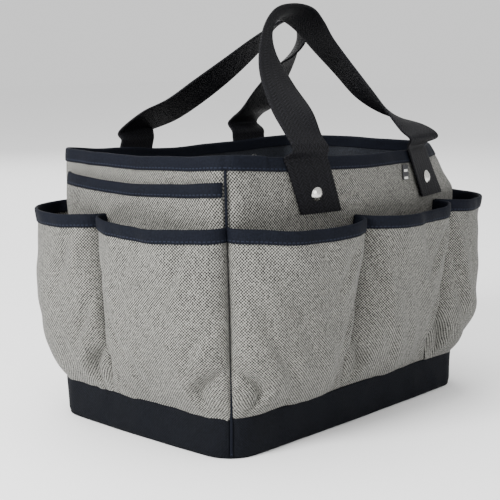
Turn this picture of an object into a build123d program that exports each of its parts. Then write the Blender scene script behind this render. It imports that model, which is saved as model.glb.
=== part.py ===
from build123d import *
import math
import os

# Garden tool bag: an open-topped fabric tote with eight outer pockets and two webbing handles.
# +X runs along the long side, +Y along the short side, +Z is up.
# The origin is the middle of the base, on the surface that the bag stands on.

# overall sizes, mm
base_length = 305.0
base_depth = 200.0
bag_height = 226.0
corner_radius = 24.0

# fabric, tape and board thicknesses
lining_thick = 0.8
shell_thick = 1.0
pocket_thick = 1.0
slip_thick = 0.8
tape_thick = 0.9
boot_thick = 2.2
base_fabric_thick = 1.2
board_thick = 2.5
board_clearance = 1.0
floor_lining_thick = 0.8

# trim heights
tape_height = 10.5
boot_height = 31.0
pocket_mouth = 175.0
slip_mouth = 207.0
slip_bottom = 60.0

# how far each wall bows out at the rim, and how far the front right corner is drawn in there
front_bow = 29.0
back_bow = 9.0
end_bow = 4.0
base_bow = 1.5
drawn_corner = Vector(-12.0, 17.5, 0)
middle_height = 110.0
draw_start = 181.0

# pockets
pocket_count = 8
seam_gap = 0.3
sewn_clearance = 0.1
front_bulge = 26.0
corner_bulge = 24.0
end_bulge = 24.0
square_end = 5.0
round_end = 2.4
slip_bulge = 8.0
slip_reach = 1.42
slip_seam_share = 0.02
slip_swell_rise = 3.0
slip_hollow_rise = 5.0
pocket_hollow_rise = 3.0
swell_levels = [40.0, 58.0, 82.0, 110.0, 140.0]
upper_levels = [181.0, 190.0]

# how far a cutting shape reaches past what it cuts, and the least height between two levels
cut_over = 5.0
level_gap = 0.5

# handles
webbing_width = 38.0
webbing_thick = 1.6
foot_drop = 46.0
foot_thick = 2.0
hinge_rise = 0.8
front_hinge_out = 20.5
back_hinge_out = 12.5
strap_start = 2.0
cut_extra = 3.0

# rivets
rivet_drop = 31.0
rivet_cap_radius = 5.3
rivet_cap_height = 2.2
rivet_post_radius = 1.6
rivet_back_radius = 5.0
rivet_back_thick = 0.8

# label
label_width = 9.0
label_height = 12.0
label_drop = 13.0
label_centre_x = 38.0

# heights where the walls change slope
fabric_top = bag_height - tape_thick
tape_bottom = bag_height - tape_height
pocket_tape_bottom = pocket_mouth - tape_height
slip_tape_bottom = slip_mouth - tape_height
floor_top = base_fabric_thick + board_thick + floor_lining_thick
front_hinge = base_depth / 2 + front_hinge_out
back_hinge = base_depth / 2 + back_hinge_out
cut_width = webbing_width + cut_extra

corner_x = base_length / 2 - base_bow - corner_radius
corner_y = base_depth / 2 - base_bow - corner_radius


def bow_share(z):
    # the walls stay straight above the boot and bow out faster towards the rim, in straight steps
    marks = [boot_height, middle_height, pocket_mouth, bag_height]
    shares = [((mark - boot_height) / (bag_height - boot_height)) ** 1.5 for mark in marks]
    if z <= boot_height:
        return 0.0
    step = 2 if z > pocket_mouth else 1 if z > middle_height else 0
    rise = (z - marks[step]) / (marks[step + 1] - marks[step])
    return shares[step] + (shares[step + 1] - shares[step]) * rise


def draw_share(z):
    # only the top of the front right corner is drawn in
    return max(0.0, (z - draw_start) / (bag_height - draw_start))


def corner_centres(z):
    front_right = Vector(corner_x, -corner_y, 0) + drawn_corner * draw_share(z)
    return [
        Vector(-corner_x, -corner_y, 0),
        front_right,
        Vector(corner_x, corner_y, 0),
        Vector(-corner_x, corner_y, 0),
    ]


def side_arc(side, z):
    # centre, corner-to-centre distance and the two end angles of one bowed side
    corners = corner_centres(z)
    first = corners[side]
    second = corners[(side + 1) % 4]
    rim_bow = [front_bow, end_bow, back_bow, end_bow][side]
    bow = base_bow + (rim_bow - base_bow) * bow_share(z)
    chord = second - first
    half = chord.length / 2
    reach = (half ** 2 + bow ** 2) / (2 * bow)
    outward = Vector(chord.Y, -chord.X, 0).normalized()
    centre = (first + second) * 0.5 - outward * (reach - bow)
    start = math.degrees(math.atan2((first - centre).Y, (first - centre).X))
    end = math.degrees(math.atan2((second - centre).Y, (second - centre).X))
    return centre, reach, start, (end - start) % 360


def wall_arcs(side, z, offset):
    # one wall from mid corner to mid corner: half a corner, the bowed side, half a corner
    corners = corner_centres(z)
    centre, reach, start, sweep = side_arc(side, z)
    before = side_arc((side - 1) % 4, z)
    after = side_arc((side + 1) % 4, z)
    turn_in = (start - (before[2] + before[3])) % 360
    turn_out = (after[2] - (start + sweep)) % 360
    radius = corner_radius + offset
    edges = [
        CenterArc(corners[side], radius, start - turn_in / 2, turn_in / 2),
        CenterArc(centre, reach + radius, start, sweep),
        CenterArc(corners[(side + 1) % 4], radius, start + sweep, turn_out / 2),
    ]
    return [Pos(0, 0, z) * edge for edge in edges]


def ring_arcs(sides, z, offset):
    edges = []
    for side in sides:
        edges += wall_arcs(side, z, offset)
    return edges


def wall_levels(low, high):
    marks = [boot_height, middle_height, pocket_mouth, draw_start, tape_bottom]
    return [low] + [mark for mark in marks if low < mark < high] + [high]


def wall_band(sides, low, high, inside, outside):
    # a band of the wall, between two offsets from its reference surface
    sections = []
    for z in wall_levels(low, high):
        outer = Wire(ring_arcs(sides, z, outside))
        inner = Wire(ring_arcs(sides, z, inside))
        if len(sides) == 4:
            sections.append((Face(outer), Face(inner)))
            continue
        ends = [
            Line(outer @ 0, inner @ 0),
            Line(outer @ 1, inner @ 1),
        ]
        sections.append(Face(Wire([*outer.edges(), *inner.edges(), *ends])))
    if len(sides) < 4:
        return loft(sections, ruled=True)
    return loft([pair[0] for pair in sections], ruled=True) - loft([pair[1] for pair in sections], ruled=True)


def wall_plate(low, high, offset):
    sections = [Face(Wire(ring_arcs(range(4), z, offset))) for z in (low, high)]
    return loft(sections, ruled=True)


def wall_frame(share, z):
    # a point of the reference surface, a share of the way round from the front left seam
    ring = Wire(ring_arcs(range(4), z, 0))
    tangent = ring % share
    return ring @ share, Vector(tangent.Y, -tangent.X, 0)


def swell(along, shapes):
    # how far a pocket stands out, from 0 at its seams to 1: a high power makes a square end
    side = 2 * along - 1
    power = shapes[0] if side < 0 else shapes[1]
    return math.sqrt(max(0.0, 1 - abs(side) ** power))


def pocket_bulge(spec, z):
    # a pocket swells quickly above its bottom, then slowly up to its mouth
    rise = (min(z, spec["mouth"]) - spec["swell_from"]) / (spec["mouth"] - spec["swell_from"])
    return spec["bulge"] * math.sin(math.pi / 2 * max(0.0, rise)) ** 0.9


def pocket_outline(spec, z, inset, sink):
    # the plan shape between the wall and a line inset from the pocket's outermost face
    steps = spec["steps"]
    ring = Wire(ring_arcs(range(4), z, 0))
    first = spec["first"] + inset / ring.length
    last = spec["last"] - inset / ring.length
    stand = pocket_bulge(spec, z) + spec["skin"] - inset
    front = []
    back = []
    for step in range(steps + 1):
        along = 0.5 - 0.5 * math.cos(math.pi * step / steps)
        share = first + (last - first) * along
        tangent = ring % share
        outward = Vector(tangent.Y, -tangent.X, 0)
        front.append((ring @ share) + outward * (spec["lift"] + stand * swell(along, spec["ends"])))
        back.append((ring @ share) + outward * (spec["lift"] - sink))
    edges = [Spline(*front), Spline(*back)]
    if sink > 0:
        edges += [Line(front[0], back[0]), Line(front[-1], back[-1])]
    return Face(Wire(edges))


def pocket_body(spec, low, high, inset, sink=0.0):
    marks = sorted([*swell_levels, *upper_levels, pocket_tape_bottom, pocket_mouth, slip_tape_bottom])
    levels = [low] + [mark for mark in marks if low + level_gap < mark < high - level_gap] + [high]
    return loft([pocket_outline(spec, z, inset, sink) for z in levels], ruled=True)


def hollow_out(spec, outer, inner):
    # the cut can miss on some outlines, so finer ones are tried until the hollow is really gone
    for finer in (0, 4, 8, 12):
        drawn = {**spec, "steps": spec["steps"] + finer}
        body = pocket_body(drawn, *outer)
        skin = body - pocket_body(drawn, *inner)
        if skin.volume < 0.95 * body.volume and len(skin.solids()) == 1:
            return skin
    raise ValueError("a pocket's hollow was not cut")


def pocket_panel(spec, low, hollow_from, thick):
    # an open-topped skin that ends inside its edge tape: the outer body less its hollow
    top = spec["mouth"] - tape_height
    outer = (low, top, tape_thick)
    return hollow_out(spec, outer, (hollow_from, top + cut_over, tape_thick + thick, cut_over))


def pocket_tape(spec, thick):
    # the folded tape along the pocket's top edge, as thick as two leaves and the panel
    low = spec["mouth"] - tape_height
    outer = (low, spec["mouth"], 0)
    return hollow_out(spec, outer, (low - cut_over, spec["mouth"] + cut_over, 2 * tape_thick + thick, cut_over))


def strap_corners(point, run, across, width):
    # the four corners of the webbing at a station, from its centre, its run and its width direction
    lean = Vector(*across)
    side = (lean - run * lean.dot(run)).normalized() * (width / 2)
    face = run.cross(side).normalized() * (webbing_thick / 2)
    return [point + side + face, point - side + face, point - side - face, point + side - face]


def strap(stations, sign, feet, hinge):
    # webbing from one foot to the other through hand-set stations
    # the first two and the last two are cut level, so the loop clears its feet as it swings
    points = [
        Vector(x, sign * (hinge - inward), bag_height + height)
        for (x, inward, height), _ in stations
    ]
    leans = [lean for _, lean in stations]
    points = [Vector(feet[0][1], sign * hinge, strap_base), *points, Vector(feet[1][1], sign * hinge, strap_base)]
    leans = [(1, 0, 0), *leans, (1, 0, 0)]
    last = len(points) - 1
    rows = []
    for index, (point, lean) in enumerate(zip(points, leans)):
        if index < 2:
            run = Vector(0, 0, 1)
        elif index > last - 2:
            run = Vector(0, 0, -1)
        else:
            run = (points[index + 1] - points[index - 1]).normalized()
        width = webbing_width if 1 < index < last - 1 else cut_width
        rows.append(strap_corners(point, run, lean, width))
    faces = [Face(Wire.make_polygon(rows[0], close=True)), Face(Wire.make_polygon(rows[-1], close=True))]
    for here, ahead in zip(rows, rows[1:]):
        for corner in range(4):
            beside = (corner + 1) % 4
            patch = [[here[corner], here[beside]], [ahead[corner], ahead[beside]]]
            faces.append(Face.make_bezier_surface(patch))
    return Solid(Shell(faces))


def foot_prism(bottom_x, top_x, bottom, top, depth_sign, width=cut_width):
    # a leaning parallelogram seen square on to the wall, as deep as the wall's bow needs
    half = width / 2
    outline = Polyline(
        (bottom_x - half, bottom),
        (bottom_x + half, bottom),
        (top_x + half, top),
        (top_x - half, top),
        close=True,
    )
    near = depth_sign * base_depth / 4
    far = depth_sign * base_depth
    face = Plane.XZ.offset(-near) * make_face(outline)
    return extrude(face, abs(far - near), dir=(0, depth_sign, 0))


def wall_spot(side_sign, x, z):
    # the reference surface's point and outward normal on a long wall at a given x
    low, high = (0.0, 0.5) if side_sign < 0 else (0.5, 1.0)
    for _ in range(30):
        middle = (low + high) / 2
        here = wall_frame(middle, z)[0]
        ahead = here.X < x if side_sign < 0 else here.X > x
        low, high = (middle, high) if ahead else (low, middle)
    point, outward = wall_frame(low, z)
    point = Vector(point.X, point.Y, z)
    above = wall_frame(low, z + 1)[0]
    slope = Vector(above.X - point.X, above.Y - point.Y, 1)
    run = Vector(-outward.Y, outward.X, 0)
    normal = run.cross(slope).normalized()
    if normal.dot(outward) < 0:
        normal = -normal
    return point, normal


def add(nodes, name, shape, solid_count=1):
    solids = shape.solids()
    if len(solids) != solid_count:
        raise ValueError(f"{name} has {len(solids)} solids, not {solid_count}")
    nodes[name] = Compound(children=list(solids)) if solid_count > 1 else solids[0]


nodes = {}

# where the four handle feet stand on the long walls: x at the foot's bottom and at the rim
front_feet = [(-69.0, -88.0), (80.0, 58.0)]
back_feet = [(-62.0, -48.0), (96.0, 91.0)]
foot_offset = shell_thick + tape_thick + sewn_clearance
foot_bottom = bag_height - foot_drop
foot_top = bag_height + foot_thick / 2
hinge_height = foot_top + hinge_rise
strap_base = hinge_height + strap_start

# base
add(nodes, "base_panel", wall_plate(0, base_fabric_thick, shell_thick + boot_thick))
board_offset = -lining_thick - board_clearance
board_top = base_fabric_thick + board_thick
add(nodes, "base_board", wall_plate(base_fabric_thick, board_top, board_offset))
add(nodes, "lining_floor", wall_plate(board_top, floor_top, -lining_thick))

# rivets, one through each handle foot
rivet_height = bag_height - rivet_drop
posts = []
caps = []
backs = []
holes = []
for sign, feet in ((-1, front_feet), (1, back_feet)):
    for bottom_x, top_x in feet:
        rise = (rivet_height - foot_bottom) / (bag_height - foot_bottom)
        x = bottom_x + (top_x - bottom_x) * rise
        spot, normal = wall_spot(sign, x, rivet_height)
        inside = -lining_thick - rivet_back_thick - sewn_clearance
        outside = foot_offset + foot_thick + sewn_clearance
        seat = Plane(origin=spot + normal * inside, z_dir=normal)
        length = outside - inside
        posts.append(seat * Cylinder(rivet_post_radius, length, align=(Align.CENTER, Align.CENTER, Align.MIN)))
        drill = Cylinder(rivet_post_radius, length + 2 * cut_over, align=(Align.CENTER, Align.CENTER, Align.MIN))
        holes.append(seat * Pos(0, 0, -cut_over) * drill)
        washer = Cylinder(rivet_back_radius, rivet_back_thick, align=(Align.CENTER, Align.CENTER, Align.MIN))
        washer -= Cylinder(rivet_post_radius, 2 * rivet_back_thick + cut_over)
        backs.append(seat * washer)
        dome_radius = (rivet_cap_radius ** 2 + rivet_cap_height ** 2) / (2 * rivet_cap_height)
        dome = Pos(0, 0, rivet_cap_height - dome_radius) * Sphere(dome_radius)
        dome &= Cylinder(2 * rivet_cap_radius, rivet_cap_height, align=(Align.CENTER, Align.CENTER, Align.MIN))
        caps.append(Plane(origin=spot + normal * outside, z_dir=normal) * dome)
add(nodes, "rivet_posts", Compound(children=posts), 4)
add(nodes, "rivet_caps", Compound(children=caps), 4)
add(nodes, "rivet_backs", Compound(children=backs), 4)

# lining and outer walls
side_names = ["front", "right", "back", "left"]
for side, name in enumerate(side_names):
    wall = wall_band([side], board_top, fabric_top, -lining_thick, 0)
    if side in (0, 2):
        for hole in holes:
            wall -= hole
    add(nodes, f"lining_{name}", wall)
shell_front = wall_band([0, 1], base_fabric_thick, fabric_top, 0, shell_thick)
shell_back = wall_band([2, 3], base_fabric_thick, fabric_top, 0, shell_thick)
for hole in holes:
    shell_front -= hole
    shell_back -= hole
add(nodes, "outer_panel_front_right", shell_front)
add(nodes, "outer_panel_back_left", shell_back)
boot_outside = shell_thick + boot_thick
add(nodes, "boot_front_right", wall_band([0, 1], base_fabric_thick, boot_height, shell_thick, boot_outside))
add(nodes, "boot_back_left", wall_band([2, 3], base_fabric_thick, boot_height, shell_thick, boot_outside))

# rim tape, folded over the top edge of the lining and the outer walls
rim_outer = wall_band(range(4), tape_bottom, fabric_top, shell_thick, shell_thick + tape_thick)
rim_inner = wall_band(range(4), tape_bottom, fabric_top, -lining_thick - tape_thick, -lining_thick)
rim_fold = wall_band(range(4), fabric_top, bag_height, -lining_thick - tape_thick, shell_thick + tape_thick)
add(nodes, "rim_tape", rim_outer + rim_inner + rim_fold)

# slip pockets on the two short walls, under the outer pockets
ring_step = 1 / pocket_count
for name, corner_share in (("right", 0.5), ("left", 1.0)):
    spec = {
        "first": corner_share - slip_reach * ring_step,
        "last": corner_share - slip_seam_share * ring_step,
        "lift": shell_thick + sewn_clearance,
        "bulge": slip_bulge,
        "skin": slip_thick + tape_thick,
        "ends": (square_end, square_end),
        "swell_from": pocket_mouth + slip_swell_rise,
        "mouth": slip_mouth,
        "steps": 32,
    }
    panel = pocket_panel(spec, slip_bottom, pocket_mouth + slip_hollow_rise, slip_thick)
    add(nodes, f"slip_pocket_{name}", panel)
    add(nodes, f"slip_pocket_tape_{name}", pocket_tape(spec, slip_thick))

# the eight outer pockets, in order from the front left seam
pocket_names = [
    "front_left",
    "front_right",
    "front_corner",
    "right",
    "back_right",
    "back_left",
    "back_corner",
    "left",
]
over_slip = shell_thick + slip_thick + 3 * sewn_clearance
pocket_bulges = [front_bulge, front_bulge, corner_bulge, end_bulge] * 2
outline_steps = [24, 20, 36, 24, 28, 20, 36, 24]
half_gap = seam_gap / 2 / Wire(ring_arcs(range(4), pocket_mouth, 0)).length
for index, name in enumerate(pocket_names):
    place = index % 4
    spec = {
        "first": index * ring_step + half_gap,
        "last": (index + 1) * ring_step - half_gap,
        "lift": over_slip if place > 1 else shell_thick + sewn_clearance,
        "bulge": pocket_bulges[index],
        "skin": pocket_thick + tape_thick,
        "ends": (round_end if place == 0 else square_end, round_end if place == 3 else square_end),
        "swell_from": boot_height,
        "mouth": pocket_mouth,
        "steps": outline_steps[index],
    }
    panel = pocket_panel(spec, boot_height, boot_height + pocket_hollow_rise, pocket_thick)
    add(nodes, f"pocket_{name}", panel)
    add(nodes, f"pocket_tape_{name}", pocket_tape(spec, pocket_thick))

# handle feet, sewn outside the wall, and the webbing loops that swing on them
for name, sign, sides, feet in (("front", -1, [0], front_feet), ("back", 1, [2], back_feet)):
    pieces = []
    sheet = wall_band(sides, foot_bottom - cut_over, bag_height + foot_thick, foot_offset, foot_offset + foot_thick)
    for bottom_x, top_x in feet:
        foot = sheet & foot_prism(bottom_x, top_x, foot_bottom, foot_top, sign)
        for hole in holes:
            foot -= hole
        pieces += foot.solids()
    add(nodes, f"{name}_handle_feet", Compound(children=pieces), 2)

# each station: x, distance inwards from the hinge line, height above the rim, then the way the width lies
# the loops start and end level with strap_base, over the feet
front_loop = [
    ((-88.0, 7.5, 14.0), (1.0, 0.0, 0.0)),
    ((-83.0, 23.5, 32.0), (1.0, 0.1, 0.2)),
    ((-70.0, 48.5, 54.0), (0.95, 0.3, 0.1)),
    ((-51.0, 70.5, 76.0), (0.85, 0.5, 0.0)),
    ((-34.0, 85.5, 91.0), (0.75, 0.65, -0.1)),
    ((-15.0, 94.5, 101.0), (0.6, 0.8, -0.2)),
    ((8.0, 97.5, 104.0), (0.35, 0.9, -0.25)),
    ((26.0, 97.5, 95.0), (0.4, 0.8, -0.35)),
    ((37.0, 90.5, 79.0), (0.5, 0.72, -0.45)),
    ((44.0, 77.5, 62.0), (0.55, 0.7, -0.4)),
    ((49.0, 60.5, 43.0), (0.6, 0.65, -0.4)),
    ((53.0, 40.5, 28.0), (0.8, 0.45, -0.35)),
    ((57.0, 12.5, 12.0), (1.0, 0.05, 0.0)),
]
back_loop = [
    ((-41.0, 6.5, 12.0), (1.0, 0.0, 0.0)),
    ((-23.0, 20.5, 22.0), (0.9, 0.2, -0.25)),
    ((-5.0, 37.5, 39.0), (0.88, 0.2, -0.26)),
    ((12.0, 57.5, 59.0), (0.85, 0.3, -0.26)),
    ((30.0, 76.5, 81.0), (0.7, 0.5, -0.26)),
    ((44.0, 86.5, 96.0), (0.5, 0.8, -0.2)),
    ((58.0, 90.5, 100.0), (0.45, 0.85, -0.1)),
    ((68.0, 88.5, 92.0), (0.6, 0.75, 0.0)),
    ((74.0, 81.5, 79.0), (0.7, 0.65, 0.0)),
    ((78.0, 65.5, 63.0), (0.85, 0.35, 0.0)),
    ((81.0, 44.5, 40.0), (0.95, 0.0, 0.05)),
    ((86.0, 24.5, 20.0), (1.0, -0.1, 0.0)),
    ((90.0, 7.5, 11.0), (1.0, 0.0, 0.0)),
]
add(nodes, "front_handle_strap", strap(front_loop, -1, front_feet, front_hinge))
add(nodes, "back_handle_strap", strap(back_loop, 1, back_feet, back_hinge))

# a small woven label beside the front wall's far foot
label_top = bag_height - label_drop
label_bottom = label_top - label_height
label_sheet = wall_band([0], label_bottom, label_top, shell_thick, shell_thick + tape_thick)
label = label_sheet & foot_prism(label_centre_x, label_centre_x, label_bottom, label_top, -1, label_width)
add(nodes, "side_label", label)

for name, shape in nodes.items():
    print(name, round(shape.volume), shape.is_valid, [round(v, 1) for v in shape.bounding_box().size])

os.makedirs("parts", exist_ok=True)
for name, shape in nodes.items():
    export_step(shape, f"parts/{name}.step")
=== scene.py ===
import bpy
import bmesh
import math
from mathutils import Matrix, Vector, noise


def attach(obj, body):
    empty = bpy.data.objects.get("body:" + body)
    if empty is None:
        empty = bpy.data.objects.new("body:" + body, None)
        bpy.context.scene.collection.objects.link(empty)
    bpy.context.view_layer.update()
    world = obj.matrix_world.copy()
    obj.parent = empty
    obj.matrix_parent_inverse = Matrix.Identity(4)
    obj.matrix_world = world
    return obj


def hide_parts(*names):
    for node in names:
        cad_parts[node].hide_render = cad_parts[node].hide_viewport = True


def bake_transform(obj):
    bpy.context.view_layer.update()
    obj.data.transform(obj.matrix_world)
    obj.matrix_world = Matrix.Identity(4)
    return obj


# garden tool bag: grey woven walls and pockets, black binding, webbing handles
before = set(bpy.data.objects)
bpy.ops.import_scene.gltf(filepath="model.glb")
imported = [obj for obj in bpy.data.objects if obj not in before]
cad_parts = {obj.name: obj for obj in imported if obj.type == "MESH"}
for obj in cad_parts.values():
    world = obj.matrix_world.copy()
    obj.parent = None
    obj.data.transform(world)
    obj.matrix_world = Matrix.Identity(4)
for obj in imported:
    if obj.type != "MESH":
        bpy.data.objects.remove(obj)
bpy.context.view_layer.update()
print("frame loaded")

# sizes of the bag in millimetres; meshes are turned to metres as they are made
bag = {
    "length": 305.0,
    "depth": 200.0,
    "height": 226.0,
    "cornerRadius": 24.0,
    "bowAtBase": 1.5,
    "bowAtRim": (29.0, 4.0, 9.0, 4.0),   # front, right, back, left
    "drawnCorner": (-12.0, 17.5),        # front right corner, pulled in at the rim
    "levels": (31.0, 110.0, 175.0, 226.0),
    "drawStart": 181.0,
    "wrinkle": 2.0,
    "feet": ((-1, -69.0, -88.0), (-1, 80.0, 58.0), (1, -62.0, -48.0), (1, 96.0, 91.0)),
}

# how far the rim sags, by share of the way round from the front left seam
rimSag = (
    (0.0, -0.6), (0.06, 2.8), (0.156, 5.5), (0.25, 7.2), (0.3125, 7.5), (0.41, 8.5), (0.5, 10.0),
    (0.58, 12.5), (0.656, 14.0), (0.74, 9.0), (0.8125, 4.0), (0.9, 4.4), (0.96, 2.2), (1.0, -0.6),
)


def ease(t):
    t = min(1.0, max(0.0, t))
    return t * t * (3 - 2 * t)


def along(keys, t):
    # eased reading of a row of (place, value) pairs
    for (a, low), (b, high) in zip(keys, keys[1:]):
        if t <= b:
            return low + (high - low) * ease((t - a) / (b - a))
    return keys[-1][1]


def bowShare(z):
    levels = bag["levels"]
    shares = [((level - levels[0]) / (levels[3] - levels[0])) ** 1.5 for level in levels]
    if z <= levels[0]:
        return 0.0
    step = 2 if z > levels[2] else 1 if z > levels[1] else 0
    rise = (z - levels[step]) / (levels[step + 1] - levels[step])
    return shares[step] + (shares[step + 1] - shares[step]) * rise


ringCache = {}


def ringRuns(z):
    # the bag's outline at one height, as arcs from the front left corner's middle
    key = round(z, 2)
    if key in ringCache:
        return ringCache[key]
    turn = 2 * math.pi
    x = bag["length"] / 2 - bag["bowAtBase"] - bag["cornerRadius"]
    y = bag["depth"] / 2 - bag["bowAtBase"] - bag["cornerRadius"]
    drawn = max(0.0, (z - bag["drawStart"]) / (bag["height"] - bag["drawStart"]))
    right = Vector((x + bag["drawnCorner"][0] * drawn, -y + bag["drawnCorner"][1] * drawn))
    corners = [Vector((-x, -y)), right, Vector((x, y)), Vector((-x, y))]
    sides = []
    for side in range(4):
        first, second = corners[side], corners[(side + 1) % 4]
        bow = bag["bowAtBase"] + (bag["bowAtRim"][side] - bag["bowAtBase"]) * bowShare(z)
        chord = second - first
        reach = ((chord.length / 2) ** 2 + bow ** 2) / (2 * bow)
        outward = Vector((chord.y, -chord.x)).normalized()
        centre = (first + second) / 2 - outward * (reach - bow)
        start = math.atan2(first.y - centre.y, first.x - centre.x)
        end = math.atan2(second.y - centre.y, second.x - centre.x)
        sides.append((centre, reach, start, (end - start) % turn))
    runs = []
    for side, (centre, reach, start, sweep) in enumerate(sides):
        before, after = sides[side - 1], sides[(side + 1) % 4]
        turnIn = (start - before[2] - before[3]) % turn
        turnOut = (after[2] - start - sweep) % turn
        radius = bag["cornerRadius"]
        runs.append((corners[side], radius, start - turnIn / 2, turnIn / 2))
        runs.append((centre, reach + radius, start, sweep))
        runs.append((corners[(side + 1) % 4], radius, start + sweep, turnOut / 2))
    total = sum(radius * sweep for _, radius, _, sweep in runs)
    ringCache[key] = (runs, total)
    return ringCache[key]


def bareSpot(share, z):
    # point and outward direction of the smooth wall
    runs, total = ringRuns(z)
    left = (share % 1.0) * total
    for centre, radius, start, sweep in runs:
        if left <= radius * sweep:
            break
        left -= radius * sweep
    angle = start + min(sweep, left / radius)
    outward = Vector((math.cos(angle), math.sin(angle), 0))
    return Vector((centre.x, centre.y, z)) + outward * radius, outward


def shareAtX(side, x, z):
    low, high = (0.0, 0.3125) if side < 0 else (0.5, 0.8125)
    for _ in range(26):
        middle = (low + high) / 2
        here = bareSpot(middle, z)[0].x
        if (here < x) == (side < 0):
            low = middle
        else:
            high = middle
    return low


def calmNearFeet(point):
    # wrinkles fade out under the sewn handle feet
    calm = 1.0
    for side, bottomX, topX in bag["feet"]:
        if point.y * side > 0 and point.z > 160:
            gap = abs(point.x - (bottomX + topX) / 2)
            calm = min(calm, ease((gap - 24) / 30) + ease((172 - point.z) / 12))
    return calm


def wrinkleAt(point):
    big = noise.noise(Vector((point.x / 46, point.y / 46, point.z / 60)))
    slant = Vector(((point.x + point.z * 0.6) / 17, (point.y + point.z * 0.4) / 17, point.z / 90))
    lean = noise.noise(slant)
    small = noise.noise(point / 12)
    return bag["wrinkle"] * (0.8 * big + 0.55 * lean + 0.18 * small) * calmNearFeet(point)


def settle(share, z):
    # the rim sags and takes the top of the walls with it
    return z - along(rimSag, share % 1.0 if share != 1.0 else 1.0) * ease((z - 165) / 61)


def wallSpot(share, z, out):
    # a place on the bag's wall, at some distance outside its middle surface
    point, outward = bareSpot(share, z)
    seam = min(abs(share - place) for place in (0.0, 0.5, 1.0)) * 1000
    tuck = -1.6 * math.exp(-(seam / 1.8) ** 2) if seam < 6 else 0.0
    placed = point + outward * (out + wrinkleAt(point) + tuck)
    placed.z = settle(share, z)
    return placed


def clothSheet(name, cols, rows, place, thick, grow=0.0, joined=False):
    # a woven sheet: a grid whose corners are moved to place(u, v), with its cloth laid out in metres
    mesh = bpy.data.meshes.new(name)
    sheet = bmesh.new()
    bmesh.ops.create_grid(sheet, x_segments=cols, y_segments=rows, size=0.5)
    spots = {}
    for vert in sheet.verts:
        u, v = vert.co.x + 0.5, vert.co.y + 0.5
        spots[vert.index] = (round(u * cols), round(v * rows))
        vert.co = place(min(1.0, max(0.0, u)), min(1.0, max(0.0, v))) * 0.001
    grid = {spots[vert.index]: vert.co.copy() for vert in sheet.verts}
    # the cloth's own measure runs out from the middle column along each row, and up that column
    across = {}
    up = [0.0]
    for row in range(rows + 1):
        run = [0.0]
        for col in range(cols):
            run.append(run[-1] + (grid[(col + 1, row)] - grid[(col, row)]).length)
        across[row] = run
    for row in range(rows):
        up.append(up[-1] + (grid[(cols // 2, row + 1)] - grid[(cols // 2, row)]).length)
    cloth = sheet.loops.layers.uv.new("cloth")
    for face in sheet.faces:
        face.smooth = True
        for loop in face.loops:
            col, row = spots[loop.vert.index]
            loop[cloth].uv = (across[row][col] - across[row][cols // 2], up[row])
    if joined:
        bmesh.ops.remove_doubles(sheet, verts=sheet.verts, dist=0.00001)
    sheet.to_mesh(mesh)
    sheet.free()
    piece = bpy.data.objects.new(name, mesh)
    bpy.context.collection.objects.link(piece)
    piece["cutWidth"] = across[rows // 2][-1]
    piece["cutLength"] = up[-1]
    subdivide = piece.modifiers.new("smooth", "SUBSURF")
    subdivide.levels = 1
    subdivide.render_levels = 1
    solid = piece.modifiers.new("thickness", "SOLIDIFY")
    solid.thickness = thick * 0.001
    solid.offset = grow
    return piece


def finishPiece(piece, material, nodes=(), body="root"):
    piece.data.materials.append(material)
    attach(piece, body)
    if nodes:
        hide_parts(*nodes)
    return piece


def toLinear(hexColour):
    parts = [int(hexColour[i:i + 2], 16) / 255 for i in (1, 3, 5)]
    return [p / 12.92 if p <= 0.04045 else ((p + 0.055) / 1.055) ** 2.4 for p in parts] + [1.0]


def addNode(tree, kind, inputs=None, **settings):
    node = tree.nodes.new("ShaderNode" + kind)
    for name, value in settings.items():
        setattr(node, name, value)
    for name, value in (inputs or {}).items():
        if isinstance(value, bpy.types.NodeSocket):
            tree.links.new(value, node.inputs[name])
        else:
            node.inputs[name].default_value = value
    return node


def startMaterial(name, roughness, metallic=0.0):
    material = bpy.data.materials.new(name)
    material.use_nodes = True
    tree = material.node_tree
    shader = tree.nodes["Principled BSDF"]
    shader.inputs["Roughness"].default_value = roughness
    shader.inputs["Metallic"].default_value = metallic
    return material, tree, shader


def clothAxes(tree):
    # the two directions of the cloth, in metres
    cloth = addNode(tree, "UVMap", uv_map="cloth")
    axes = addNode(tree, "SeparateXYZ", {0: cloth.outputs[0]})
    return axes.outputs[0], axes.outputs[1]


def blendTones(tree, factor, first, second, kind="MIX"):
    mix = addNode(tree, "Mix", {"Factor": factor, 6: first, 7: second}, data_type="RGBA", blend_type=kind)
    return mix.outputs[2]


def ripple(tree, value, pitch):
    # a wave from -1 to 1 that repeats every pitch metres
    turned = addNode(tree, "Math", {0: value, 1: 2 * math.pi / pitch}, operation="MULTIPLY")
    return addNode(tree, "Math", {0: turned.outputs[0]}, operation="SINE").outputs[0]


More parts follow.
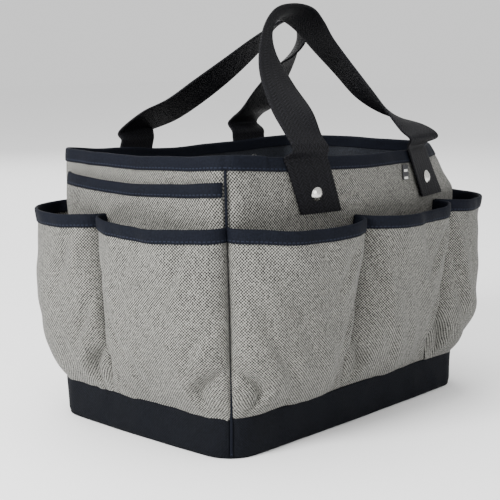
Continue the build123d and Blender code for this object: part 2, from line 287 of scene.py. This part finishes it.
def wovenCloth(name, look):
    material, tree, shader = startMaterial(name, look["roughness"])
    shader.inputs["Sheen Weight"].default_value = look["sheen"]
    shader.inputs["Sheen Roughness"].default_value = 0.5
    shader.inputs["Specular IOR Level"].default_value = look["specular"]
    u, v = clothAxes(tree)
    warp = ripple(tree, u, look["pitch"])
    weft = ripple(tree, v, look["pitch"])
    dots = addNode(tree, "Math", {0: warp, 1: weft}, operation="MULTIPLY").outputs[0]
    place = addNode(tree, "TexCoord").outputs["Object"]
    yarn = addNode(tree, "TexNoise", {
        "Vector": place, "Scale": 1 / look["yarn"], "Detail": 2.0, "Roughness": 0.7,
    })
    patch = addNode(tree, "TexNoise", {"Vector": place, "Scale": 22.0, "Detail": 3.0})
    mixed = addNode(tree, "Math", {0: dots, 1: look["dotWeight"], 2: yarn.outputs[0]},
                    operation="MULTIPLY_ADD")
    spread = addNode(tree, "MapRange", {0: mixed.outputs[0], 1: look["low"], 2: look["high"]})
    shade = blendTones(tree, spread.outputs[0], toLinear(look["dark"]), toLinear(look["light"]))
    worn = addNode(tree, "MapRange", {0: patch.outputs[0], 1: 0.35, 2: 0.7, 3: look["patchLow"], 4: 1.0})
    tone = blendTones(tree, 1.0, shade, worn.outputs[0], "MULTIPLY")
    bump = addNode(tree, "Bump", {"Height": mixed.outputs[0], "Strength": look["bump"], "Distance": 0.0003})
    tree.links.new(tone, shader.inputs["Base Color"])
    tree.links.new(bump.outputs[0], shader.inputs["Normal"])
    return material


# 600 denier polyester, plain woven: matt, heathered, with a dotted thread pattern
# threads are 0.5 mm, drawn 2.3 mm apart so that the dots show
greyCloth = wovenCloth("polyester 600D woven grey", {
    "dark": "#0f0f0e", "light": "#908f89", "pitch": 0.0023, "yarn": 0.0016, "dotWeight": 0.42,
    "low": 0.3, "high": 0.84, "roughness": 0.86, "sheen": 0.05, "specular": 0.25, "bump": 0.7,
    "patchLow": 0.9,
})
# the same polyester dyed black for the band round the foot: soft, slightly blue highlights
blackCloth = wovenCloth("polyester 600D woven black", {
    "dark": "#030406", "light": "#14161c", "pitch": 0.0021, "yarn": 0.0015, "dotWeight": 0.26,
    "low": 0.2, "high": 0.8, "roughness": 0.8, "sheen": 0.0, "specular": 0.07, "bump": 0.7, "patchLow": 0.8,
})
# coated lining taffeta: smooth, charcoal, a little shinier than the outside
liningCloth = wovenCloth("polyester taffeta charcoal", {
    "dark": "#121418", "light": "#2a2d34", "pitch": 0.0021, "yarn": 0.0016, "dotWeight": 0.14,
    "low": 0.3, "high": 0.72, "roughness": 0.6, "sheen": 0.0, "specular": 0.2, "bump": 0.2, "patchLow": 0.85,
})


def bindingTape(name, look):
    # grosgrain: fine ribs across the tape, and one row of stitches along its lower edge
    material, tree, shader = startMaterial(name, 0.78)
    shader.inputs["Specular IOR Level"].default_value = 0.08
    u, v = clothAxes(tree)
    ribs = ripple(tree, u, look["rib"])
    place = addNode(tree, "TexCoord").outputs["Object"]
    yarn = addNode(tree, "TexNoise", {"Vector": place, "Scale": 700.0, "Detail": 2.0})
    patch = addNode(tree, "TexNoise", {"Vector": place, "Scale": 30.0, "Detail": 2.0})
    mixed = addNode(tree, "Math", {0: ribs, 1: 0.12, 2: yarn.outputs[0]}, operation="MULTIPLY_ADD")
    spread = addNode(tree, "MapRange", {0: mixed.outputs[0], 1: 0.3, 2: 0.72})
    shade = blendTones(tree, spread.outputs[0], toLinear(look["dark"]), toLinear(look["light"]))
    fade = blendTones(tree, patch.outputs[0], shade, toLinear(look["navy"]))
    offset = addNode(tree, "Math", {0: v, 1: look["stitchUp"]}, operation="SUBTRACT")
    apart = addNode(tree, "Math", {0: offset.outputs[0]}, operation="ABSOLUTE")
    line = addNode(tree, "MapRange", {0: apart.outputs[0], 1: 0.0005, 2: 0.0003})
    dash = addNode(tree, "MapRange", {0: ripple(tree, u, look["stitch"]), 1: -0.5, 2: -0.2})
    thread = addNode(tree, "Math", {0: line.outputs[0], 1: dash.outputs[0]}, operation="MULTIPLY")
    sewn = blendTones(tree, thread.outputs[0], fade, toLinear(look["thread"]))
    height = addNode(tree, "Math", {0: thread.outputs[0], 1: 0.8, 2: mixed.outputs[0]},
                     operation="MULTIPLY_ADD")
    bump = addNode(tree, "Bump", {"Height": height.outputs[0], "Strength": 0.55, "Distance": 0.0003})
    tree.links.new(sewn, shader.inputs["Base Color"])
    tree.links.new(bump.outputs[0], shader.inputs["Normal"])
    return material


# polyester grosgrain ribbon, folded over the cut edges: dull navy black, ribs 1.2 mm apart
tapeRibbon = bindingTape("grosgrain ribbon navy black", {
    "dark": "#040508", "light": "#12151d", "navy": "#0b0e17", "thread": "#1c202b",
    "rib": 0.0012, "stitch": 0.0034, "stitchUp": 0.0019,
})


def strapWebbing(name, look):
    # polypropylene webbing: herringbone ridges, a rolled edge on each side
    material, tree, shader = startMaterial(name, 0.62)
    shader.inputs["Specular IOR Level"].default_value = 0.09
    u, v = clothAxes(tree)
    zigzag = addNode(tree, "Math", {0: u, 1: look["column"]}, operation="PINGPONG")
    slant = addNode(tree, "Math", {0: zigzag.outputs[0], 1: v}, operation="ADD")
    ridges = ripple(tree, slant.outputs[0], look["ridge"])
    columns = ripple(tree, u, look["column"])
    relief = addNode(tree, "Math", {0: columns, 1: 0.35, 2: ridges}, operation="MULTIPLY_ADD")
    place = addNode(tree, "TexCoord").outputs["Object"]
    yarn = addNode(tree, "TexNoise", {"Vector": place, "Scale": 900.0, "Detail": 2.0})
    mixed = addNode(tree, "Math", {0: relief.outputs[0], 1: 0.22, 2: yarn.outputs[0]},
                    operation="MULTIPLY_ADD")
    spread = addNode(tree, "MapRange", {0: mixed.outputs[0], 1: 0.2, 2: 0.85})
    shade = blendTones(tree, spread.outputs[0], toLinear(look["dark"]), toLinear(look["light"]))
    bump = addNode(tree, "Bump", {"Height": mixed.outputs[0], "Strength": 0.8, "Distance": 0.0006})
    tree.links.new(shade, shader.inputs["Base Color"])
    tree.links.new(bump.outputs[0], shader.inputs["Normal"])
    return material


# webbing yarns are 1 mm; the ridges are drawn 3 mm apart so that they show
handleWebbing = strapWebbing("polypropylene webbing black", {
    "dark": "#010102", "light": "#17171b", "ridge": 0.0030, "column": 0.0047,
})


def brushedNickel():
    # nickel-plated brass, tumbled: bright, with faint rubbing marks
    material, tree, shader = startMaterial("nickel plate tumbled", 0.24, 1.0)
    place = addNode(tree, "TexCoord").outputs["Object"]
    rub = addNode(tree, "TexNoise", {"Vector": place, "Scale": 500.0, "Detail": 4.0})
    tone = blendTones(tree, rub.outputs[0], toLinear("#b9b8b4"), toLinear("#dcdbd6"))
    rough = addNode(tree, "MapRange", {0: rub.outputs[0], 1: 0.3, 2: 0.7, 3: 0.16, 4: 0.34})
    tree.links.new(tone, shader.inputs["Base Color"])
    tree.links.new(rough.outputs[0], shader.inputs["Roughness"])
    return material


def greyboard():
    # recycled grey board with pressed fibres
    material, tree, shader = startMaterial("greyboard pressed", 0.9)
    place = addNode(tree, "TexCoord").outputs["Object"]
    fibre = addNode(tree, "TexNoise", {"Vector": place, "Scale": 400.0, "Detail": 5.0})
    tone = blendTones(tree, fibre.outputs[0], toLinear("#3a3a3a"), toLinear("#565552"))
    bump = addNode(tree, "Bump", {"Height": fibre.outputs[0], "Strength": 0.3, "Distance": 0.0003})
    tree.links.new(tone, shader.inputs["Base Color"])
    tree.links.new(bump.outputs[0], shader.inputs["Normal"])
    return material


def labelSatin():
    # woven satin label: black, with two plain light bars
    material, tree, shader = startMaterial("satin label woven", 0.5)
    u, v = clothAxes(tree)
    shine = ripple(tree, u, 0.0008)
    bars = addNode(tree, "MapRange", {0: ripple(tree, v, 0.006), 1: 0.45, 2: 0.6})
    wide = addNode(tree, "Math", {0: u}, operation="ABSOLUTE")
    inside = addNode(tree, "MapRange", {0: wide.outputs[0], 1: 0.0031, 2: 0.0027})
    mask = addNode(tree, "Math", {0: bars.outputs[0], 1: inside.outputs[0]}, operation="MULTIPLY")
    tone = blendTones(tree, mask.outputs[0], toLinear("#121318"), toLinear("#c9c9c4"))
    bump = addNode(tree, "Bump", {"Height": shine, "Strength": 0.3, "Distance": 0.0002})
    tree.links.new(tone, shader.inputs["Base Color"])
    tree.links.new(bump.outputs[0], shader.inputs["Normal"])
    return material


nickelPlate = brushedNickel()
pressedBoard = greyboard()
satinLabel = labelSatin()
print("materials made")


walls = {"low": 22.0, "high": 223.0, "mid": 0.5, "thick": 1.0, "cols": 150, "rows": 56}


def wallPanel(name, first, last):
    def place(u, v):
        z = walls["low"] + (walls["high"] - walls["low"]) * v
        return wallSpot(first + (last - first) * u, z, walls["mid"])
    return clothSheet(name, walls["cols"], walls["rows"], place, walls["thick"])


frontWall = finishPiece(wallPanel("wall_front_right", 0.0004, 0.4996), greyCloth,
                        ["outer_panel_front_right"])
backWall = finishPiece(wallPanel("wall_back_left", 0.5004, 0.9996), greyCloth,
                       ["outer_panel_back_left"])

lining = {"low": 5.0, "high": 222.0, "out": -0.45, "thick": 0.7, "cols": 260, "rows": 44, "hang": 2.2}


def liningPlace(u, v):
    # the lining is a little too long, so it hangs in shallow upright folds between its seams
    z = lining["low"] + (lining["high"] - lining["low"]) * v
    slack = ease(v * 3) * ease((1 - v) * 5)
    slack *= calmNearFeet(bareSpot(u, z)[0])
    fold = max(0.0, noise.noise(Vector((u * 38, z / 120, 3.0)))) * lining["hang"] * slack
    return wallSpot(u, z, lining["out"] - fold)


liningShell = clothSheet("lining", lining["cols"], lining["rows"], liningPlace, lining["thick"],
                         joined=True)
finishPiece(liningShell, liningCloth,
            ["lining_front", "lining_right", "lining_back", "lining_left"])

floor = {
    "rings": 26, "cols": 160, "top": 4.5, "under": 0.1, "topOut": -1.9, "underOut": 2.4,
    "topThick": 0.6, "underThick": 0.9, "rimSteps": 64,
}


def plateSpot(share, reach, z, out):
    edge, outward = bareSpot(share, z)
    edge = edge + outward * out
    return Vector((edge.x * reach, edge.y * reach, z))


def floorPlace(u, v):
    spot = plateSpot(u, 1 - v, floor["top"], floor["topOut"])
    spot.z += 0.5 * noise.noise(Vector((spot.x / 40, spot.y / 40, 0))) + 1.2 * ease((0.06 - v) / 0.06)
    return spot


def undersidePlace(u, v):
    spot = plateSpot(u, 1 - v, floor["under"], floor["underOut"])
    spot.z += 0.35 * ease(v * 8) + 0.2 * noise.noise(Vector((spot.x / 30, spot.y / 30, 7)))
    return spot


liningFloor = clothSheet("lining_bottom", floor["cols"], floor["rings"], floorPlace,
                         floor["topThick"], 1.0, joined=True)
finishPiece(liningFloor, liningCloth, ["lining_floor"])
underside = clothSheet("underside", floor["cols"], floor["rings"], undersidePlace,
                       floor["underThick"], 1.0, joined=True)
finishPiece(underside, blackCloth, ["base_panel"])
# these two are made in rings, so they are measured straight across instead
for plate, height, out in (
    (liningFloor, floor["top"], floor["topOut"]),
    (underside, floor["under"], floor["underOut"]),
):
    rim = [bareSpot(step / floor["rimSteps"], height)[0] for step in range(floor["rimSteps"])]
    plate["cutWidth"] = (max(spot.x for spot in rim) - min(spot.x for spot in rim) + 2 * out) / 1000
    plate["cutLength"] = (max(spot.y for spot in rim) - min(spot.y for spot in rim) + 2 * out) / 1000
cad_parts["base_board"].data.materials.clear()
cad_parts["base_board"].data.materials.append(pressedBoard)
print("walls, lining and floor made")


boot = {
    "profile": ((2.2, 30.2), (2.9, 31.3), (3.5, 30.6), (3.5, 24.0), (3.5, 16.0), (3.5, 9.0), (3.4, 4.0),
                (2.7, 1.4), (1.2, 0.5), (-3.0, 0.4), (-9.0, 0.5)),
    "thick": 0.9,
    "cols": 130,
    "rows": 30,
    "wave": 0.5,
}


def profileSpot(profile, v):
    # (out, height) at v along a given profile
    place = v * (len(profile) - 1)
    step = min(len(profile) - 2, int(place))
    part = place - step
    a, b = profile[step], profile[step + 1]
    return a[0] + (b[0] - a[0]) * part, a[1] + (b[1] - a[1]) * part


def bootPanel(name, first, last):
    def place(u, v):
        share = first + (last - first) * u
        out, z = profileSpot(boot["profile"], 1 - v)
        spot = wallSpot(share, max(z, 2.0), out)
        spot.z = z + boot["wave"] * noise.noise(Vector((spot.x / 30, spot.y / 30, 1))) * ease((z - 18) / 12)
        return spot
    return clothSheet(name, boot["cols"], boot["rows"], place, boot["thick"])


bootFront = finishPiece(bootPanel("boot_band_front_right", 0.0006, 0.4994), blackCloth,
                        ["boot_front_right"])
bootBack = finishPiece(bootPanel("boot_band_back_left", 0.5006, 0.9994), blackCloth,
                       ["boot_back_left"])
print("foot band made")


binding = {
    "height": 10.5, "half": 1.4, "centre": 0.1, "thick": 0.9, "cols": 300, "rows": 24,
    "pocketHalf": 1.05, "pocketThick": 0.8, "pocketRows": 20,
}


def foldedTape(v, height, half):
    # a ribbon folded over an edge: sideways offset and height below its top
    leg = height - half
    whole = 2 * leg + math.pi * half
    run = v * whole
    if run < leg:
        return half + 0.25 * math.sin(math.pi * run / leg), run - height
    if run > whole - leg:
        return -half, whole - run - height
    angle = (run - leg) / half
    return half * math.cos(angle), half * math.sin(angle) - half


def rimPlace(u, v):
    side, drop = foldedTape(v, binding["height"], binding["half"])
    z = bag["height"] + drop
    spot = wallSpot(u, z, binding["centre"] + side)
    spot.z += 0.35 * noise.noise(Vector((spot.x / 24, spot.y / 24, 2)))
    return spot


rimBinding = clothSheet("rim_binding", binding["cols"], binding["rows"], rimPlace, binding["thick"],
                        joined=True)
finishPiece(rimBinding, tapeRibbon, ["rim_tape"])

# where the two ends of the rim binding overlap, just right of the front left seam
overlap = {"first": 0.004, "last": 0.034, "taller": 0.6, "wider": 0.75, "rise": 0.7, "cols": 20, "thick": 0.5}


def overlapPlace(u, v):
    side, drop = foldedTape(v, binding["height"] + overlap["taller"], binding["half"] + overlap["wider"])
    share = overlap["first"] + (overlap["last"] - overlap["first"]) * u
    return wallSpot(share, bag["height"] + overlap["rise"] + drop, binding["centre"] + side)


rimOverlap = clothSheet("rim_binding_overlap", overlap["cols"], binding["rows"], overlapPlace,
                        overlap["thick"])
finishPiece(rimOverlap, tapeRibbon)
print("rim binding made")


pockets = {
    "names": ("front_left", "front_right", "front_corner", "right",
              "back_right", "back_left", "back_corner", "left"),
    "bulges": (26.0, 26.0, 24.0, 24.0) * 2,
    "low": 29.0,
    "swellFrom": 31.0,
    "mouth": 175.0,
    "skin": 1.4,
    "lift": 1.1,
    "liftOverSlip": 2.1,
    "squareEnd": 4.2,
    "roundEnd": 2.4,
    "cols": 88,
    "rows": 50,
    "thick": 0.9,
    "dip": (2.6, 1.6, 2.4, 2.2, 2.0, 2.4, 1.8, 2.6),
    "cornerFold": 20.0,
    "dividerFold": 15.0,
    "seamGap": 0.0004,
}

# the tucked folds at a pocket's foot: a groove, a sunk strip beside the divider, and a sideways pull
tuck = {
    "eases": 9.0, "groove": 0.8, "grooveWidth": 3.8, "sunk": 0.5, "sunkFrom": 3.0, "sunkOver": 7.0,
    "pull": 1.6, "pullOver": 2.5, "pullFades": 9.0, "reach": 50.0,
}

# shallow creases in each pocket: place along it, height, lean and depth
creases = (
    (0.10, 120.0, -0.30, 3.6), (0.88, 92.0, 0.36, 4.4), (0.20, 84.0, -0.50, 3.2),
    (0.76, 138.0, 0.36, 3.0), (0.90, 62.0, 0.20, 4.0), (0.34, 66.0, -0.30, 2.2),
)


def swell(place, ends):
    side = 2 * place - 1
    power = ends[0] if side < 0 else ends[1]
    return math.sqrt(max(0.0, 1 - abs(side) ** power))


def foldEdge(z, size):
    # how far from a divider the tucked fold at a pocket's bottom reaches, by height
    return along(((20.0, size * 0.5), (31.0, size * 0.55), (50.0, size), (78.0, 0.0), (240.0, -8.0)), z)


def pocketSpec(index):
    place = index % 4
    return {
        "index": index,
        "first": index / 8 + pockets["seamGap"],
        "last": (index + 1) / 8 - pockets["seamGap"],
        "bulge": pockets["bulges"][index],
        "lift": pockets["liftOverSlip"] if place > 1 else pockets["lift"],
        "ends": (pockets["roundEnd"] if place == 0 else pockets["squareEnd"],
                 pockets["roundEnd"] if place == 3 else pockets["squareEnd"]),
        "folds": (pockets["cornerFold"] if place == 0 else pockets["dividerFold"],
                  pockets["cornerFold"] if place == 3 else pockets["dividerFold"]),
    }


def pocketSpot(spec, place, z):
    # a point of the pocket's cloth, from 0 to 1 along its width
    rise = min(1.0, max(0.0, (z - pockets["swellFrom"]) / (pockets["mouth"] - pockets["swellFrom"])))
    reach = spec["bulge"] * (1 - (1 - rise) ** 4.5) ** 0.85
    width = ringRuns(z)[1] * (spec["last"] - spec["first"])
    shift = 0.0
    tucked = 1.0
    for end, size in enumerate(spec["folds"]):
        fromSeam = (place if end == 0 else 1 - place) * width
        edge = foldEdge(z, size)
        if edge > 0 and fromSeam < edge + tuck["reach"]:
            gap = fromSeam - edge
            deep = ease(edge / tuck["eases"])
            tucked *= 1 - tuck["groove"] * deep * math.exp(-(gap / tuck["grooveWidth"]) ** 2)
            tucked *= 1 - tuck["sunk"] * deep * ease((tuck["sunkFrom"] - gap) / tuck["sunkOver"])
            fades = math.exp(-max(0.0, gap) / tuck["pullFades"])
            pull = tuck["pull"] * deep * ease(gap / tuck["pullOver"]) * fades
            shift += -pull if end == 0 else pull
    share = spec["first"] + (spec["last"] - spec["first"]) * (place + shift / width)
    share = min(spec["last"], max(spec["first"], share))
    seed = spec["index"] * 7.3
    soft = noise.noise(Vector((place * 3.1 + seed, z / 52, 0.5))) * 3.0
    drag = noise.noise(Vector((place * 9 + z / 26 + seed, z / 80, 1.5))) * 1.6
    for at, high, lean, deep in creases:
        gap = (place - at - lean * (z - high) / 100) * width
        fades = math.exp(-((z - high) / 22) ** 2)
        soft -= deep * math.exp(-(gap / 4.5) ** 2) * fades
        soft += 0.5 * deep * math.exp(-((gap - 9) / 6) ** 2) * fades
    body = swell(place, spec["ends"])
    out = (reach + soft + drag) * body * tucked if reach > 0 else 0.0
    dipped = pockets["dip"][spec["index"]] * math.sin(math.pi * place) ** 1.4
    dipped += 0.9 * noise.noise(Vector((place * 4 + seed, 9.0, 2.0)))
    top = ease((z - 120) / 55)
    spot = wallSpot(share, z, 0.0)
    outward = bareSpot(share, z)[1]
    placed = spot + outward * (spec["lift"] + pockets["skin"] * 0.5 + max(0.0, out))
    placed.z -= dipped * top
    return placed


def pocketPlan(spec, place, z):
    # the pocket's own outward direction, seen from above
    a = pocketSpot(spec, max(0.0, place - 0.004), z)
    b = pocketSpot(spec, min(1.0, place + 0.004), z)
    run = b - a
    return Vector((run.y, -run.x, 0)).normalized()


def easedPlace(u):
    # more columns near the two seams
    return 0.5 - 0.5 * math.cos(math.pi * u)


for index, name in enumerate(pockets["names"]):
    spec = pocketSpec(index)

    def panelPlace(u, v, spec=spec):
        z = pockets["low"] + (pockets["mouth"] - 1.5 - pockets["low"]) * v
        return pocketSpot(spec, easedPlace(u), z)

    def tapePlace(u, v, spec=spec):
        side, drop = foldedTape(v, binding["height"], binding["pocketHalf"])
        place = easedPlace(u)
        level = pockets["mouth"] + drop
        spot = pocketSpot(spec, place, level)
        return spot + pocketPlan(spec, place, level) * side

    panel = clothSheet(f"pocket_cloth_{name}", pockets["cols"], pockets["rows"], panelPlace,
                       pockets["thick"])
    finishPiece(panel, greyCloth, [f"pocket_{name}"])
    tape = clothSheet(f"pocket_binding_{name}", pockets["cols"], binding["pocketRows"], tapePlace,
                      binding["pocketThick"])
    finishPiece(tape, tapeRibbon, [f"pocket_tape_{name}"])
print("pockets made")


slips = {
    "low": 150.0, "mouth": 207.0, "swellFrom": 168.0, "bulge": 6.5, "reach": 1.42 / 8, "lift": 1.2,
    "squareEnd": 5.0, "cols": 90, "rows": 24, "thick": 0.7, "dip": 2.4,
}


def slipSpot(first, last, place, z):
    rise = min(1.0, max(0.0, (z - slips["swellFrom"]) / (slips["mouth"] - slips["swellFrom"])))
    out = slips["bulge"] * math.sin(math.pi / 2 * rise) * swell(place, (slips["squareEnd"],) * 2)
    share = first + (last - first) * place
    ruffle = 0.7 * rise * noise.noise(Vector((place * 6, z / 30, first)))
    spot = wallSpot(share, z, slips["lift"] + 0.4 + out + ruffle)
    spot.z -= slips["dip"] * math.sin(math.pi * place) ** 1.5 * ease((z - 170) / 37)
    return spot


for name, corner in (("left", 1.0), ("right", 0.5)):
    first, last = corner - slips["reach"], corner - 0.0025

    def slipPlace(u, v, first=first, last=last):
        z = slips["low"] + (slips["mouth"] - 1.5 - slips["low"]) * v
        return slipSpot(first, last, easedPlace(u), z)

    def slipTapePlace(u, v, first=first, last=last):
        side, drop = foldedTape(v, binding["height"], binding["pocketHalf"])
        place = easedPlace(u)
        outward = bareSpot(first + (last - first) * place, slips["mouth"])[1]
        return slipSpot(first, last, place, slips["mouth"] + drop) + outward * side

    slip = clothSheet(f"slip_cloth_{name}", slips["cols"], slips["rows"], slipPlace, slips["thick"])
    finishPiece(slip, greyCloth, [f"slip_pocket_{name}"])
    slipTape = clothSheet(f"slip_binding_{name}", slips["cols"], binding["pocketRows"], slipTapePlace,
                          binding["pocketThick"])
    finishPiece(slipTape, tapeRibbon, [f"slip_pocket_tape_{name}"])
print("slip pockets made")


# sizes of the painted shade strips down the two corner seams: dark sheets standing for the seams' shadow
# lines
seamShadowStrip = {"low": 2.0, "half": 0.9, "out": 2.3, "underBoot": 3.9, "cols": 6, "rows": 70, "thick": 0.5}
tacks = {
    "width": 2.2, "low": 163.0, "high": 174.0, "out": 2.6, "ridge": 0.45, "turns": 9,
    "cols": 6, "rows": 40, "thick": 0.4,
}


def seamShadowPlace(corner):
    # a narrow black strip that shows as a dark line down the corner: painted shade standing for the shadow
    # where the plain seam rolls in
    def place(u, v):
        z = seamShadowStrip["low"] + (bag["height"] - binding["height"] - seamShadowStrip["low"]) * v
        point, outward = bareSpot(corner, z)
        side = Vector((-outward.y, outward.x, 0)) * seamShadowStrip["half"] * (2 * u - 1)
        out = seamShadowStrip["underBoot"] if z < bag["levels"][0] else seamShadowStrip["out"]
        spot = point + side + outward * (out - 0.5 * (2 * u - 1) ** 2 + wrinkleAt(point))
        spot.z = settle(corner, z)
        return spot
    return place


# painted shade: a black ribbon strip down each corner seam in place of its shadow line
for name, corner in (("near", 0.0), ("far", 0.5)):
    seam = clothSheet(f"corner_shadow_strip_{name}", seamShadowStrip["cols"], seamShadowStrip["rows"], seamShadowPlace(corner), seamShadowStrip["thick"])
    finishPiece(seam, tapeRibbon)


def tackPlace(share):
    # a dense zigzag of thread that stops the pocket seam from tearing
    def place(u, v):
        z = tacks["low"] + (tacks["high"] - tacks["low"]) * v
        point, outward = bareSpot(share, z)
        side = Vector((-outward.y, outward.x, 0)) * tacks["width"] * (u - 0.5)
        ridge = tacks["ridge"] * abs(math.sin(v * tacks["turns"] * math.pi)) * math.sin(math.pi * u)
        spot = point + side + outward * (tacks["out"] + ridge)
        spot.z = settle(share, z)
        return spot
    return place


for divider in range(1, 8):
    if divider == 4:
        continue
    tack = clothSheet(f"bar_tack_{divider}", tacks["cols"], tacks["rows"], tackPlace(divider / 8),
                      tacks["thick"])
    finishPiece(tack, tapeRibbon)
print("corner seams and bar tacks made")


# each loop's stations are the middle of the webbing and the way its width lies
frontHandle = {
    "side": -1,
    "feet": ((-69.0, -88.0), (80.0, 58.0)),
    "hinge": (-120.5, 229.8),
    "loop": (
        ((-88, -113, 240), (1, 0, 0)), ((-83, -97, 258), (1, 0.1, 0.2)), ((-70, -72, 280), (0.95, 0.3, 0.1)),
        ((-51, -50, 302), (0.85, 0.5, 0)), ((-34, -35, 317), (0.75, 0.65, -0.1)),
        ((-15, -26, 327), (0.6, 0.8, -0.2)), ((8, -23, 330), (0.35, 0.9, -0.25)),
        ((26, -23, 321), (0.4, 0.8, -0.35)), ((37, -30, 305), (0.5, 0.72, -0.45)),
        ((44, -43, 288), (0.55, 0.7, -0.4)), ((49, -60, 269), (0.6, 0.65, -0.4)),
        ((53, -80, 254), (0.8, 0.45, -0.35)), ((57, -108, 238), (1, 0.05, 0)),
    ),
}
backHandle = {
    "side": 1,
    "feet": ((-62.0, -48.0), (96.0, 91.0)),
    "hinge": (112.5, 229.8),
    "loop": (
        ((-41, 106, 238), (1, 0, 0)), ((-23, 92, 248), (0.9, 0.2, -0.25)),
        ((-5, 75, 265), (0.88, 0.2, -0.26)),
        ((12, 55, 285), (0.85, 0.3, -0.26)), ((30, 36, 307), (0.7, 0.5, -0.26)),
        ((44, 26, 322), (0.5, 0.8, -0.2)), ((58, 22, 326), (0.45, 0.85, -0.1)),
        ((68, 24, 318), (0.6, 0.75, 0)), ((74, 31, 305), (0.7, 0.65, 0)), ((78, 47, 289), (0.85, 0.35, 0)),
        ((81, 68, 266), (0.95, 0, 0.05)), ((86, 88, 246), (1, -0.1, 0)), ((90, 105, 237), (1, 0, 0)),
    ),
}
webbing = {
    "width": 38.0, "thick": 1.6, "footWidth": 40.0, "footOut": 3.1, "steps": 7, "cols": 12,
    "footFrom": 180.0, "footRun": 46.0, "footHeights": (180.0, 184.0, 192.0, 201.0, 210.0, 217.0, 223.0),
}


def footStations(handle, foot):
    # the sewn end of the strap, lying on the outside of the wall and leaning
    bottomX, topX = handle["feet"][foot]
    stations = []
    for z in webbing["footHeights"]:
        x = bottomX + (topX - bottomX) * (z - webbing["footFrom"]) / webbing["footRun"]
        share = shareAtX(handle["side"], x, z)
        point, outward = bareSpot(share, z)
        half = Vector((-outward.y, outward.x, 0)) * (webbing["footWidth"] / 2)
        if half.x < 0:
            half = -half
        stations.append((point + outward * webbing["footOut"], half))
    return stations


def loopStations(handle):
    points = [Vector(point) for point, _ in handle["loop"]]
    hinges = [Vector((foot[1], *handle["hinge"])) for foot in handle["feet"]]
    whole = [hinges[0]] + points + [hinges[1]]
    stations = [(hinges[0], Vector((webbing["footWidth"] / 2, 0, 0)))]
    for index, (point, lean) in enumerate(handle["loop"]):
        run = (whole[index + 2] - whole[index]).normalized()
        lean = Vector(lean)
        half = (lean - run * lean.dot(run)).normalized() * (webbing["width"] / 2)
        stations.append((whole[index + 1], half))
    stations.append((hinges[1], Vector((webbing["footWidth"] / 2, 0, 0))))
    return stations


def between(a, b, c, d, t):
    # a smooth curve through b and c
    bend = 2 * a - 5 * b + 4 * c - d
    twist = 3 * b - a - 3 * c + d
    return 0.5 * ((2 * b) + (c - a) * t + bend * t * t + twist * t ** 3)


def strapPiece(name, handle):
    stations = footStations(handle, 0) + loopStations(handle) + footStations(handle, 1)[::-1]
    stations = [stations[0]] + stations + [stations[-1]]
    rows = []
    for index in range(1, len(stations) - 2):
        for step in range(webbing["steps"]):
            t = step / webbing["steps"]
            four = stations[index - 1:index + 3]
            rows.append((between(*[s[0] for s in four], t), between(*[s[1] for s in four], t)))
    rows.append(stations[-2])

    def place(u, v):
        centre, half = rows[round(v * (len(rows) - 1))]
        return centre + half * (2 * u - 1)

    return clothSheet(name, webbing["cols"], len(rows) - 1, place, webbing["thick"])


for name, handle in (("front", frontHandle), ("back", backHandle)):
    strap = strapPiece(f"{name}_handle_webbing", handle)
    strap.data.materials.append(handleWebbing)
    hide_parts(f"{name}_handle_strap", f"{name}_handle_feet")
    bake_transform(strap)
print("handles made")

for node in ("rivet_posts", "rivet_caps", "rivet_backs"):
    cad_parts[node].data.materials.clear()
    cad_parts[node].data.materials.append(nickelPlate)


tag = {"x": 38.0, "low": 200.0, "high": 214.0, "width": 9.0, "out": 2.0, "bow": 0.5}


def tagPlace(u, v):
    z = tag["low"] + (tag["high"] - tag["low"]) * v
    x = tag["x"] + tag["width"] * (u - 0.5)
    return wallSpot(shareAtX(-1, x, z), z, tag["out"] + tag["bow"] * math.sin(math.pi * u))


label = clothSheet("label_tab", 10, 14, tagPlace, 0.5)
finishPiece(label, satinLabel, ["side_label"])
print("label made")


def studioFloor():
    mesh = bpy.data.meshes.new("studio_floor")
    ground = bmesh.new()
    bmesh.ops.create_grid(ground, x_segments=2, y_segments=2, size=6.0)
    ground.to_mesh(mesh)
    ground.free()
    piece = bpy.data.objects.new("studio_floor", mesh)
    piece.location.z = -0.0005
    bpy.context.collection.objects.link(piece)
    material, _, shader = startMaterial("studio paper white", 0.9)
    shader.inputs["Base Color"].default_value = toLinear("#fcfcfc")
    mesh.materials.append(material)


studioFloor()

lamps = (
    ("key", (-1.7, 0.1, 1.0), 0.7, 66.0),
    ("fill", (-0.7, -1.8, 0.7), 1.0, 14.0),
    ("top", (0.1, 0.2, 2.2), 2.0, 34.0),
    ("rear", (0.9, 1.6, 1.2), 1.4, 16.0),
)
for name, place, size, power in lamps:
    light = bpy.data.lights.new(name, "AREA")
    light.energy = power
    light.size = size
    lamp = bpy.data.objects.new(name, light)
    lamp.location = place
    lamp.rotation_euler = (Vector((0, 0, 0.12)) - Vector(place)).to_track_quat("-Z", "Y").to_euler()
    bpy.context.collection.objects.link(lamp)

world = bpy.data.worlds.new("studio")
bpy.context.scene.world = world
world.use_nodes = True
world.node_tree.nodes["Background"].inputs[0].default_value = (1.0, 1.0, 1.0, 1.0)
world.node_tree.nodes["Background"].inputs[1].default_value = 1.0

view = {"place": (-0.790, -0.697, 0.309), "yaw": 0.737, "pitch": 0.169, "lens": 88.85}
lens = bpy.data.cameras.new("camera")
lens.lens = view["lens"]
lens.sensor_width = 36.0
camera = bpy.data.objects.new("camera", lens)
camera.location = view["place"]
forward = Vector((
    math.cos(view["yaw"]) * math.cos(view["pitch"]),
    math.sin(view["yaw"]) * math.cos(view["pitch"]),
    -math.sin(view["pitch"]),
))
camera.rotation_euler = forward.to_track_quat("-Z", "Y").to_euler()
bpy.context.collection.objects.link(camera)
bpy.context.scene.camera = camera
print("studio made")
